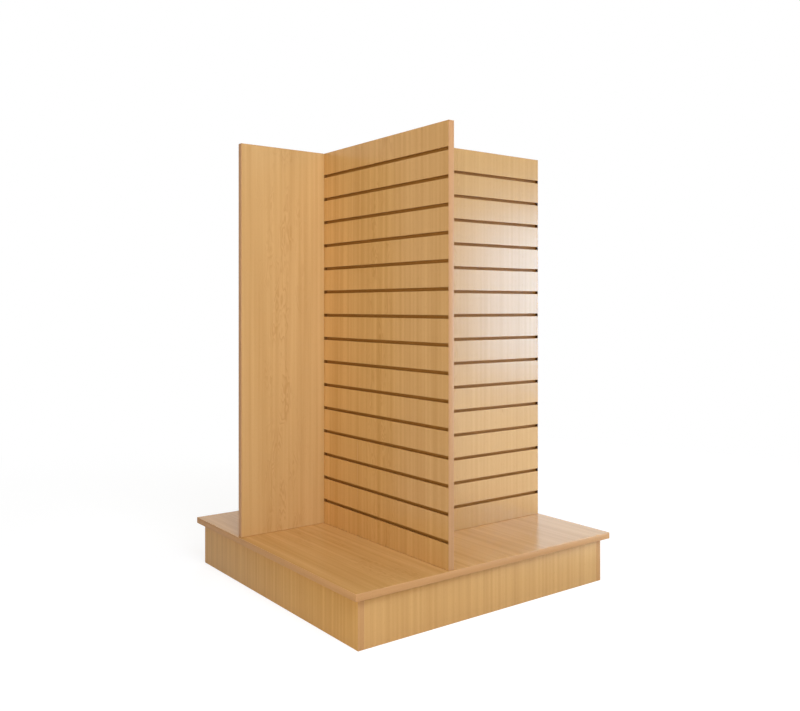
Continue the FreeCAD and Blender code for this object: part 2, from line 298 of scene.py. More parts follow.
class Group(Wiring):
    """The wiring of a new node group, with its inputs and outputs."""

    TREE = "ShaderNodeTree"

    def __init__(self, name: str, inputs: Inputs, outputs: Mapping[str, str]) -> None:
        """Makes the tree and its sockets.

        Args:
            name: The group's name.
            inputs: Each input's value, or its Kind.
            outputs: Each output's kind of socket.
        """
        super().__init__(bpy.data.node_groups.new(name, self.TREE))
        plain = {float: "NodeSocketFloat", int: "NodeSocketInt", tuple: "NodeSocketVector"}
        for label, value in inputs.items():
            kind = value.value if isinstance(value, Kind) else plain[type(value)]
            socket = self.tree.interface.new_socket(label, in_out="INPUT", socket_type=kind)
            if not isinstance(value, Kind):
                socket.default_value = value
        for label, kind in outputs.items():
            self.tree.interface.new_socket(label, in_out="OUTPUT", socket_type="NodeSocket" + kind)
        self.given = self.outputs("NodeGroupInput")
        self.place = self.given.get("Place")

    def done(self, results: Inputs) -> Tree:
        """Feeds the group's outputs and gives the finished tree."""
        self.node("NodeGroupOutput", results)
        return self.tree


def opaque(colour: Colour) -> Opaque:
    """A colour with full alpha."""
    return (*colour, 1.0)


def grey(level: float) -> Opaque:
    """A grey with full alpha."""
    return opaque((level, level, level))


def labelled(owner: object, *labels: str) -> dict[str, object]:
    """An object's fields as a tree's inputs: the field foot_ease feeds the input Foot Ease."""
    return {label: getattr(owner, label.lower().replace(" ", "_")) for label in labels}


# ---- shared surface effects ----


class Effects:
    """Shader groups that more than one finish uses. Each is built once.

    The stretch of a pattern says how many times a metre it changes across, into and along the board.
    """

    SWAY = (7.0, 7.0, 1.1)
    FINE = (310.0, 310.0, 4.0)
    MIDDLING = (88.0, 88.0, 1.4)
    BROAD = (15.0, 15.0, 0.35)
    WANDER = (30.0, 30.0, 7.0)
    PATCHES = (26.0, 26.0, 7.0)
    FLECKS = (800.0, 800.0, 85.0)
    RUBBING = (60.0, 60.0, 60.0)
    CLOUDS = (5.0, 5.0, 3.0)
    WIPES = (38.0, 38.0, 9.0)
    GRIT = (900.0, 900.0, 900.0)
    FUZZ = (1500.0, 1500.0, 1500.0)
    CLUMPS = (260.0, 260.0, 260.0)
    TONES = (22.0, 22.0, 22.0)
    FINE_SHARE = 0.28
    STREAK_GAIN = 3.8
    BAND_GAIN = 3.0
    RINGS = 13.0
    RING_SLOPE = 0.4
    RING_BEND = 70.0
    LATE_WOOD = (0.25, 0.86)
    YEAR_END = (0.9, 1.0)
    KNOT_LONG = 0.35
    KNOT_NEAR = 5.0
    KNOT_PULL = -0.7
    KNOT_DARK = 0.45

    @staticmethod
    @cache
    def woodgrain() -> Tree:
        """Streaks, bands, nested heart figure, one knot and fine flecks of a veneer or of a print of one,
        with a painted lean of light across the board.

        Returns:
            The group. It reads a place in the board's own axes, with the grain along Z.
        """
        inputs = dict.fromkeys(("Place", "Heart", "Knot"), ORIGIN)
        inputs |= dict.fromkeys(("Pale", "Middle", "Deep"), Kind.COLOUR)
        inputs |= {"Streaks": 0.5, "Bands": 0.5, "Sway": 0.003, "Heart Width": 0.06, "Figure": 0.3}
        inputs |= {"Knot Size": 0.005, "Flecks": 0.3, "Drift": 0.0}
        g = Group("woodgrain", inputs, {"Colour": "Color", "Height": "Float", "Gloss": "Float"})
        knot_size = g.given["Knot Size"]
        knot_x, _, knot_z = g.parts(g.vector("SUBTRACT", g.place, g.given["Knot"]))
        knot_reach = g.vector("LENGTH", g.point(knot_x, 0.0, knot_z * Effects.KNOT_LONG))
        near_knot = g.rise(knot_reach, 0.0, knot_size * Effects.KNOT_NEAR, 1.0, 0.0)
        sway = (g.noise(Effects.SWAY, 1.0) - 0.5) * g.given["Sway"]
        swayed = g.vector("ADD", g.place, g.point(sway * 2.0 + near_knot * knot_x * Effects.KNOT_PULL))

        fine = g.noise(Effects.FINE, 2.0, 0.6, swayed)
        middling = g.noise(Effects.MIDDLING, 0.4, place=swayed)
        broad = g.noise(Effects.BROAD, 1.0, place=swayed)
        mixed = fine * Effects.FINE_SHARE + middling * (1.0 - Effects.FINE_SHARE)
        streaks = (mixed - 0.5) * (g.given["Streaks"] * Effects.STREAK_GAIN)
        bands = (broad - 0.5) * (g.given["Bands"] * Effects.BAND_GAIN)
        tone = g.math("ADD", streaks + bands, 0.5, clamp=True)

        heart_x, _, heart_z = g.parts(g.vector("SUBTRACT", swayed, g.given["Heart"]))
        wander = (g.noise(Effects.WANDER, 2.0) - 0.5) * 0.9
        rings = heart_z * Effects.RING_SLOPE + heart_x * heart_x * Effects.RING_BEND + wander
        ring = g.math("FRACT", rings * Effects.RINGS)
        late = g.rise(ring, *Effects.LATE_WOOD) * g.rise(ring, *Effects.YEAR_END, 1.0, 0.0)
        spread = g.math("ABSOLUTE", heart_x) / g.given["Heart Width"]
        patchy = g.rise(g.noise(Effects.PATCHES, 1.0), 0.42, 0.62)
        figure = late * g.rise(spread, 0.1, 1.0, 1.0, 0.0) * patchy * g.given["Figure"]

        fleck = g.rise(g.noise(Effects.FLECKS, 1.0, place=swayed), 0.64, 0.72) * g.given["Flecks"]
        core = g.rise(knot_reach, 0.0, knot_size, 1.0, 0.0) * Effects.KNOT_DARK
        deep = g.math("MAXIMUM", g.math("MAXIMUM", figure, fleck), core)
        colour = g.blend(deep, g.blend(tone, g.given["Middle"], g.given["Pale"]), g.given["Deep"])
        # painted light: the colour grows lighter to one side of the heart and darker to the other
        lean = g.math("MULTIPLY_ADD", heart_x, g.given["Drift"], 1.0)
        height = fine * 0.5 - fleck
        return g.done({"Colour": g.scaled(colour, lean), "Height": height, "Gloss": fine - tone * 0.3})

    @staticmethod
    @cache
    def worn_edges() -> Tree:
        """Where an eased edge is rubbed, broken up along its length.

        Returns:
            The group, with a mask that is highest on eased edges.
        """
        g = Group("worn_edges", {"Place": ORIGIN, "Amount": 0.5}, {"Mask": "Float"})
        edge = g.value("ShaderNodeAttribute", output="Fac", attribute_name=ARRIS)
        broken = g.rise(g.noise(Effects.RUBBING, 3.0), 0.3, 0.7, 0.35, 1.0)
        return g.done({"Mask": edge * broken * g.given["Amount"]})

    @staticmethod
    @cache
    def handling() -> Tree:
        """Faint smears and dust from use: they dull the surface, and dust lies on what faces up.

        Returns:
            The group, with a smear mask and a dust mask.
        """
        g = Group("handling", {"Place": ORIGIN, "Amount": 0.5}, {"Smears": "Float", "Dust": "Float"})
        cloud = g.noise(Effects.CLOUDS, 3.0)
        wipe = g.noise(Effects.WIPES, 2.0)
        smears = g.rise(cloud, 0.35, 0.7) * g.rise(wipe, 0.3, 0.75)
        up = g.parts(g.value("ShaderNodeTexCoord", output="Normal"))[2]
        grit = g.rise(g.noise(Effects.GRIT, 1.0), 0.45, 0.8, 0.4, 1.0)
        dust = g.rise(up, 0.6, 1.0) * grit * g.rise(cloud, 0.2, 0.8, 0.4, 1.0)
        return g.done({"Smears": smears * g.given["Amount"], "Dust": dust * g.given["Amount"]})

    @staticmethod
    @cache
    def fibres() -> Tree:
        """Felted fibres of pressed board, or the fuzz of a sawn face.

        Returns:
            The group, with a tone from 0 to 1 and a height.
        """
        g = Group("fibres", {"Place": ORIGIN, "Coarse": 0.5}, {"Tone": "Float", "Height": "Float"})
        fuzz = g.noise(Effects.FUZZ, 2.0, 0.7)
        clumps = g.noise(Effects.CLUMPS, 2.0)
        cloudy = g.noise(Effects.TONES, 1.0)
        spread = (fuzz * 0.4 + clumps * 0.4 + cloudy * 0.2 - 0.5) * (g.given["Coarse"] * 4.0)
        return g.done({"Tone": g.math("ADD", spread, 0.5, clamp=True), "Height": fuzz})


# ---- finishes ----


@dataclass(frozen=True)
class Surface:
    """What every finish has: gloss, traces of use, dust on what faces up, and relief.

    The pattern is moved by the shift times the stretch, so that pieces can show different parts of it.
    """

    name: str
    grain: Grain = Grain.UPRIGHT_ACROSS_X
    shift: float = 1.0
    roughness: float = 0.5
    roughness_spread: float = 0.1
    mirror: float = 0.25
    metallic: float = 0.0
    handled: float = 0.3
    smeared: float = 0.09
    dusty: float = 0.15
    dust: Colour = (0.6, 0.52, 0.42)
    relief: float = 0.35
    relief_height: float = 0.15 * MM
    stretch: Point = ORIGIN

    @property
    def offset(self) -> Vector:
        """Where the pattern's origin goes, in its own axes."""
        return Vector(self.stretch) * self.shift

    def material(self) -> Material:
        """Builds the material.

        Returns:
            The material, its pattern in the grain's own axes.
        """
        material = bpy.data.materials.new(self.name)
        material.use_nodes = True
        w = Wiring(material.node_tree)
        shader = next(n for n in w.tree.nodes if n.type == "BSDF_PRINCIPLED")
        on_piece = w.value("ShaderNodeTexCoord", output="Object")
        mapping = {"Vector": on_piece, "Rotation": self.grain.axes.to_euler(), "Location": self.offset}
        w.place = w.value("ShaderNodeMapping", mapping)
        colour, gloss, height = self.pattern(w)
        used = w.effect(Effects.handling(), {"Amount": self.handled})
        dusted = w.blend(used["Dust"] * self.dusty, colour, opaque(self.dust))
        dulled = (gloss - 0.5) * self.roughness_spread + used["Smears"] * self.smeared
        relief = {"Strength": self.relief, "Distance": self.relief_height, "Height": height}
        inputs = {
            "Base Color": self.marked(w, dusted),
            "Roughness": w.math("ADD", dulled, self.roughness, clamp=True),
            "Specular IOR Level": self.mirror,
            "Metallic": self.metallic,
            "Normal": w.value("ShaderNodeBump", relief),
        }
        for label, value in inputs.items():
            w.feed(shader.inputs[label], value)
        return material

    def pattern(self, w: Wiring) -> Look:
        """The finish's own colour, gloss around 0.5 and height."""
        raise NotImplementedError

    def marked(self, w: Wiring, colour: Value) -> Value:
        """The colour with the painted shade that lies over the dust, where the finish has any."""
        return colour


@dataclass(frozen=True)
class Woodgrain(Surface):
    """Melamine foil, a band, or bare wood, with a grain."""

    pale: Colour = (0.600, 0.345, 0.125)
    middle: Colour = (0.490, 0.265, 0.083)
    deep: Colour = (0.36, 0.165, 0.04)
    tint: Colour = (1.0, 1.0, 1.0)
    streaks: float = 0.5
    bands: float = 0.28
    sway: float = 0.004
    figure: float = 0.0
    heart: Point = ORIGIN
    heart_width: float = 0.12
    knot: Point = (9.0, 9.0, 9.0)
    knot_size: float = 0.004
    flecks: float = 0.26
    # painted light: how much lighter the print grows across the board, one way from the heart
    drift: float = 0.0
    # painted shade: a dark brown strip on the plain face where another board butts on, seen only through the
    # ends of the grooves
    joint: Point | None = None
    joint_half: float = 10.3 * MM
    joint_depth: float = 2.0 * MM
    joint_colour: Colour = (0.24, 0.10, 0.022)
    # painted shadow: how much darker the foil grows just under an overhang, the overhang's height, and where
    # the darkening fades
    unwiped: float = 0.0
    unwiped_top: float = 0.0
    unwiped_edge: tuple[float, float] = (-12.0 * MM, -5.0 * MM)
    worn: Colour = (0.72, 0.47, 0.22)
    wear: float = 0.25
    roughness_spread: float = 0.12
    dusty: float = 0.06
    dust: Colour = (0.62, 0.58, 0.52)
    relief: float = 0.04
    relief_height: float = 0.2 * MM

    def tinted(self, colour: Colour) -> Opaque:
        """A colour of the print, shifted to this board's own tint."""
        return opaque(tuple(min(part * share, 1.0) for part, share in zip(colour, self.tint)))

    def local(self, point: Point) -> Point:
        """A point of the stand in the pattern's own axes."""
        return tuple(self.grain.axes @ Vector(point) + self.offset)

    def pattern(self, w: Wiring) -> Look:
        """The print or the wood, paler where its edges are rubbed.

        Args:
            w: The material's wiring.

        Returns:
            The colour, the gloss and the height.
        """
        named = ("Streaks", "Bands", "Sway", "Heart Width", "Figure", "Knot Size", "Flecks", "Drift")
        tones = {label: self.tinted(tone) for label, tone in labelled(self, "Pale", "Middle", "Deep").items()}
        spots = {label: self.local(spot) for label, spot in labelled(self, "Heart", "Knot").items()}
        grain = w.effect(Effects.woodgrain(), tones | spots | labelled(self, *named))
        worn = w.effect(Effects.worn_edges(), {"Amount": self.wear})
        colour = w.blend(worn["Mask"], grain["Colour"], opaque(self.worn))
        return colour, grain["Gloss"], grain["Height"]

    def marked(self, w: Wiring, colour: Value) -> Value:
        """Adds painted shade on the strip where another board butts on, and a painted shadow just under an
        overhang.

        Args:
            w: The material's wiring.
            colour: The colour without the marks.

        Returns:
            The colour with the marks.
        """
        # painted shade: the strip where another board butts on turns dark brown, standing in for the shade at
        # the grooves' ends
        if self.joint is not None:
            off = w.parts(w.vector("SUBTRACT", w.place, self.local(self.joint)))
            across, into = (w.math("ABSOLUTE", part) for part in off[:2])
            painted_butt_shade = w.below(across, self.joint_half) * w.below(into, self.joint_depth)
            colour = w.blend(painted_butt_shade, colour, opaque(self.joint_colour))
        # painted shadow: the foil grows darker towards the top, just under the overhang
        if self.unwiped > 0.0:
            top = self.local((0.0, 0.0, self.unwiped_top))
            height = w.parts(w.vector("SUBTRACT", w.place, top))[2]
            colour = w.scaled(colour, w.rise(height, *self.unwiped_edge, 1.0, 1.0 - self.unwiped))
        return colour


@dataclass(frozen=True)
class PressedBoard(Surface):
    """Fibreboard without its foil: a sawn edge, or the burnished inside of a routed groove."""

    light: Colour = (0.48, 0.22, 0.05)
    dark: Colour = (0.33, 0.14, 0.024)
    coarse: float = 0.5

    def pattern(self, w: Wiring) -> Look:
        """Felted fibres: their colour, gloss and height."""
        felt = w.effect(Effects.fibres(), {"Coarse": self.coarse})
        return w.blend(felt["Tone"], opaque(self.dark), opaque(self.light)), felt["Height"], felt["Height"]


@dataclass(frozen=True)
class Clouded(Surface):
    """A tone that a second one clouds over, with a fine relief. Each noise is its stretch and its layers."""

    tone: Colour = (0.026, 0.026, 0.028)
    second: Colour = (0.09, 0.088, 0.085)
    cloud: tuple[Point, float, float] = ((140.0, 300.0, 140.0), 4.0, 0.65)
    clouded: tuple[float, float] = (0.52, 0.75)
    share: float = 0.6
    fine: tuple[Point, float] = ((1400.0, 1400.0, 1400.0), 2.0)
    cloud_gloss: float = 0.0

    def pattern(self, w: Wiring) -> Look:
        """Clouds and fine relief.

        Args:
            w: The material's wiring.

        Returns:
            The colour, the gloss and the height.
        """
        cloud, fine = w.noise(*self.cloud), w.noise(*self.fine)
        seen = w.rise(cloud, *self.clouded) * self.share
        gloss = cloud * self.cloud_gloss + fine * (1.0 - self.cloud_gloss)
        return w.blend(seen, opaque(self.tone), opaque(self.second)), gloss, fine


@dataclass(frozen=True)
class MouldedNylon(Clouded):
    """Black nylon straight from the mould, finely grained and a little scuffed."""

    roughness: float = 0.42
    roughness_spread: float = 0.2
    handled: float = 0.7
    dusty: float = 0.25
    dust: Colour = (0.3, 0.28, 0.26)
    relief: float = 0.3
    relief_height: float = 0.08 * MM


@dataclass(frozen=True)
class ZincPlate(Clouded):
    """Bright zinc on steel, with the faint bloom and brush lines of plated hardware."""

    tone: Colour = (0.66, 0.67, 0.68)
    second: Colour = (0.52, 0.50, 0.44)
    cloud: tuple[Point, float, float] = ((90.0, 90.0, 90.0), 3.0, 0.5)
    clouded: tuple[float, float] = (0.35, 0.7)
    share: float = 1.0
    fine: tuple[Point, float] = ((2400.0, 160.0, 900.0), 1.0)
    cloud_gloss: float = 0.5
    metallic: float = 1.0
    roughness: float = 0.3
    roughness_spread: float = 0.4
    handled: float = 0.6
    dusty: float = 0.2
    dust: Colour = (0.5, 0.47, 0.42)
    relief: float = 0.15
    relief_height: float = 0.05 * MM


@dataclass(frozen=True)
class BandFoil(Woodgrain):
    """The finish of an edge band: the same print as the boards, a little redder and quieter."""

    mirror: float = 0.15
    stretch: Point = (1.0, 2.0, 7.1)
    pale: Colour = (0.640, 0.370, 0.155)
    middle: Colour = (0.530, 0.285, 0.105)
    streaks: float = 0.4
    bands: float = 0.25


@dataclass(frozen=True)
class Softwood(Woodgrain):
    """Planed softwood without a finish."""

    roughness: float = 0.62
    stretch: Point = (1.0, 1.0, 3.0)
    pale: Colour = (0.74, 0.54, 0.30)
    middle: Colour = (0.66, 0.44, 0.22)
    deep: Colour = (0.42, 0.22, 0.08)
    bands: float = 0.4
    sway: float = 0.02
    figure: float = 0.5
    heart_width: float = 0.05
    flecks: float = 0.0
    relief: float = 0.25


# ---- meshes ----


def settle(mesh: Mesh, *finishes: Material, node: str, slot: str, body: str = STAND) -> None:
    """Makes a piece that rides on a body and stands for a CAD node.

    Args:
        mesh: The mesh, in place, with the piece's name.
        finishes: Its materials, or none where the mesh has its own.
        node: The CAD node that it stands for.
        slot: The slot that its finish comes from. It is not used.
        body: The body that it moves with.
    """
    for finish in finishes:
        mesh.materials.append(finish)
    piece = bpy.data.objects.new(mesh.name, mesh)
    bpy.context.scene.collection.objects.link(piece)
    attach(piece, body)
    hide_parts(node)
    log.info("%s: %d faces, stands for %s", piece.name, len(mesh.polygons), node)


def whole_faces(node: str) -> Shape:
    """A CAD node's shape, with its loose triangles joined into whole faces.

    Args:
        node: The CAD node.

    Returns:
        The shape.
    """
    shape = bmesh.new()
    shape.from_mesh(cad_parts[node].data)
    bmesh.ops.remove_doubles(shape, verts=shape.verts, dist=0.1 * HAIR)
    bmesh.ops.dissolve_limit(shape, angle_limit=FLAT, verts=shape.verts, edges=shape.edges)
    return shape


def kept(shape: Shape, name: str) -> Mesh:
    """Keeps a shape as a mesh.

    Args:
        shape: The shape, which is freed.
        name: The mesh's name.

    Returns:
        The mesh.
    """
    mesh = bpy.data.meshes.new(name)
    shape.to_mesh(mesh)
    shape.free()
    return mesh


def shaded(mesh: Mesh, degrees: float) -> Mesh:
    """Shades a mesh smoothly.

    Args:
        mesh: The mesh.
        degrees: Faces that meet more sharply than this keep a crisp edge.

    Returns:
        The same mesh.
    """
    mesh.shade_smooth()
    mesh.set_sharp_from_angle(angle=math.radians(degrees))
    return mesh


def round_over(shape: Shape, edges: list[bmesh.types.BMEdge], reach: float) -> list:
    """Rounds edges over with two faces each, and gives the new faces."""
    settings = {"offset": reach, "segments": 2, "profile": 0.5, "affect": "EDGES", "clamp_overlap": True}
    return bmesh.ops.bevel(shape, geom=edges, **settings)["faces"]


def eased_copy(node: str, reach: float, *outward: Face) -> Mesh:
    """Copies a CAD node's mesh and rounds over the edges of its outer box.

    Args:
        node: The CAD node.
        reach: How far the rounding reaches in from each edge.
        outward: The sides whose edges are rounded, or none for all of them.

    Returns:
        The mesh, with the rounded faces marked.
    """
    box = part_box(node)
    sides = [(axis, sign, box[sign > 0][axis]) for axis in range(3) for sign in (-1, 1)]
    shape = whole_faces(node)
    mark = shape.faces.layers.float.new(ARRIS)
    edges = []
    for edge in shape.edges:
        ends = [vertex.co for vertex in edge.verts]
        shared = {(axis, sign) for axis, sign, at in sides if all(abs(end[axis] - at) < HAIR for end in ends)}
        if len(shared) >= 2 and (not outward or shared & set(outward)):
            edges.append(edge)
    for face in round_over(shape, edges, reach):
        face[mark] = 1.0
        face.smooth = True
    mesh = kept(shape, node + ".eased")
    mesh.set_sharp_from_angle(angle=CRISP)
    return mesh


def softened_copy(node: str, reach: float) -> Mesh:
    """Copies a CAD node's mesh and rounds over every sharp outer edge.

    Args:
        node: The CAD node.
        reach: How far the rounding reaches in from each edge.

    Returns:
        The mesh.
    """
    shape = whole_faces(node)
    sharp = [e for e in shape.edges if e.is_manifold and e.is_convex and e.calc_face_angle() > FOLDED]
    round_over(shape, sharp, reach)
    return shaded(kept(shape, node + ".pressed"), 30.0)


def separate_solids(node: str) -> list[np.ndarray]:
    """Splits a CAD node that holds several solids.

    Args:
        node: The CAD node.

    Returns:
        Each solid's points, as rows.
    """
    shape = whole_faces(node)
    left = dict.fromkeys(shape.verts)
    solids = []
    while left:
        reached, front = [], [left.popitem()[0]]
        while front:
            vertex = front.pop()
            reached.append(vertex.co.copy())
            for other in [edge.other_vert(vertex) for edge in vertex.link_edges]:
                if other in left:
                    del left[other]
                    front.append(other)
        solids.append(np.array(reached))
    shape.free()
    return solids


def fastener_points(node: str) -> Mesh:
    """Finds the round fasteners in a CAD node: each lies along its longest side, its head at the wider end.

    Args:
        node: The CAD node.

    Returns:
        A mesh of loose points at the outer ends, each with the direction in which its fastener goes in.
    """
    starts, ways = [], []
    for points in separate_solids(node):
        low, high = points.min(0), points.max(0)
        axis = int(np.argmax(high - low))
        start, way = (low + high) / 2, np.zeros(3, np.float32)
        radius = np.linalg.norm(np.delete(points - start, axis, 1), axis=1)
        at_low, at_high = (abs(points[:, axis] - end[axis]) < 10.0 * HAIR for end in (low, high))
        head_low = radius[at_low].max() >= radius[at_high].max()
        start[axis], way[axis] = (low[axis], 1.0) if head_low else (high[axis], -1.0)
        starts.append(tuple(start))
        ways.append(way)
    mesh = bpy.data.meshes.new("fastener_points")
    mesh.from_pydata(starts, [], [])
    mesh.attributes.new("along", "FLOAT_VECTOR", "POINT").data.foreach_set("vector", np.concatenate(ways))
    return mesh


# ---- geometry trees ----


class Shaping(Group):
    """The wiring of a geometry tree, with the shapes that fittings are made of."""

    TREE = "GeometryNodeTree"

    def __init__(self, name: str, sizes: Inputs) -> None:
        """Makes the tree, with an input for each size."""
        super().__init__(name, {"Geometry": Kind.GEOMETRY} | dict(sizes), {"Geometry": "Geometry"})

    def index(self) -> Value:
        """Each point's number."""
        return self.value("GeometryNodeInputIndex")

    def choose(self, kind: str, index: Value, items: Sequence[object]) -> Value:
        """Picks one of a list of values by index.

        Args:
            kind: The values' data type.
            index: The index.
            items: The values.

        Returns:
            The picked value.
        """
        node = self.node("GeometryNodeIndexSwitch", {"Index": index}, data_type=kind)
        while len(node.index_switch_items) < len(items):
            node.index_switch_items.new()
        for number, item in enumerate(items, 1):
            self.feed(node.inputs[number], item)
        return Value(self, node.outputs[0])

    def path(self, count: object, place: Value) -> Value:
        """A curve through so many points, each at its own place."""
        line = {"Geometry": self.value("GeometryNodeMeshLine", {"Count": count}), "Position": place}
        return self.value("GeometryNodeMeshToCurve", {"Mesh": self.value("GeometryNodeSetPosition", line)})

    def ring(self, sides: int, radius: object = 1.0) -> Value:
        """A circle."""
        return self.value("GeometryNodeCurvePrimitiveCircle", {"Resolution": sides, "Radius": radius})

    def swept(self, path: Value, profile: Value, scale: object = 1.0) -> Value:
        """Draws a profile out along a path into a closed mesh."""
        inputs = {"Curve": path, "Profile Curve": profile, "Scale": scale, "Fill Caps": True}
        return self.value("GeometryNodeCurveToMesh", inputs)

    def turned(self, sides: int, *outline: tuple[object, object]) -> Value:
        """Turns an outline round Z: the radius and height of each ring, from the bottom up."""
        radius, height = (self.choose("FLOAT", self.index(), items) for items in zip(*outline))
        return self.swept(self.path(len(outline), self.point(z=height)), self.ring(sides), radius)

    def thread(self, radius: Value, start: Value, length: Value, pitch: Value, ridge: Value) -> Value:
        """Winds a thread's ridge round Z.

        Args:
            radius: The core's radius, which the ridge stands on.
            start: The height where it begins.
            length: How far up it runs.
            pitch: The rise of one turn.
            ridge: How far it stands out.

        Returns:
            A closed mesh.
        """
        inputs = {"Resolution": 14, "Start Radius": radius, "End Radius": radius, "Height": length}
        spiral = self.value("GeometryNodeCurveSpiral", inputs | {"Rotations": length / pitch})
        return self.moved(self.swept(spiral, self.ring(3, ridge)), self.point(z=start))

    def moved(self, geometry: Value, by: object = ORIGIN, turn: object = ORIGIN) -> Value:
        """Turns and moves geometry."""
        inputs = {"Geometry": geometry, "Translation": by, "Rotation": turn}
        return self.value("GeometryNodeTransform", inputs)

    def joined(self, *meshes: Value) -> Value:
        """Puts meshes together without merging them."""
        return self.value("GeometryNodeJoinGeometry", {0: list(meshes)})

    def common(self, *meshes: Value) -> Value:
        """The part that all of the meshes share."""
        return self.value("GeometryNodeMeshBoolean", {1: list(meshes)}, operation="INTERSECT", solver="EXACT")

    def cut(self, mesh: Value, *others: Value) -> Value:
        """A mesh without the parts that others fill."""
        inputs = {0: mesh, 1: list(others)}
        return self.value("GeometryNodeMeshBoolean", inputs, operation="DIFFERENCE", solver="EXACT")

    def on_points(self, shape: Value) -> Value:
        """Puts a shape on every point of the tree's own geometry.

        Args:
            shape: The shape, with its Z axis along the point's own direction.

        Returns:
            The instances.
        """
        along = self.value("GeometryNodeInputNamedAttribute", {"Name": "along"}, data_type="FLOAT_VECTOR")
        turn = self.value("FunctionNodeAlignRotationToVector", {"Vector": along}, axis="Z")
        inputs = {"Points": self.given["Geometry"], "Instance": shape, "Rotation": turn}
        return self.value("GeometryNodeInstanceOnPoints", inputs)

    def dressed(self, geometry: Value, finish: str) -> Value:
        """Makes instances real and gives everything the material that an input holds."""
        real = self.value("GeometryNodeRealizeInstances", {"Geometry": geometry})
        return self.value("GeometryNodeSetMaterial", {"Geometry": real, "Material": self.given[finish]})


def grow(name: str, tree: Tree, values: Inputs, seed: Mesh | None = None) -> Mesh:
    """Runs a geometry tree and keeps the result as a plain mesh.

    Args:
        name: The mesh's name.
        tree: The tree.
        values: The tree's inputs by name.
        seed: The mesh that the tree starts from, where it needs one.

    Returns:
        The mesh.
    """
    carrier = bpy.data.objects.new(name + ".carrier", seed or bpy.data.meshes.new(name + ".seed"))
    bpy.context.scene.collection.objects.link(carrier)
    modifier = carrier.modifiers.new("tree", "NODES")
    modifier.node_group = tree
    for socket in tree.interface.items_tree:
        if socket.in_out == "INPUT" and socket.name in values:
            modifier[socket.identifier] = values[socket.name]
    graph = bpy.context.evaluated_depsgraph_get()
    grown = carrier.evaluated_get(graph)
    mesh = bpy.data.meshes.new_from_object(grown, preserve_all_data_layers=True, depsgraph=graph)
    mesh.name = name
    carrier.modifiers.remove(modifier)
    bpy.data.objects.remove(carrier)
    return mesh


# ---- the stand's own parts ----


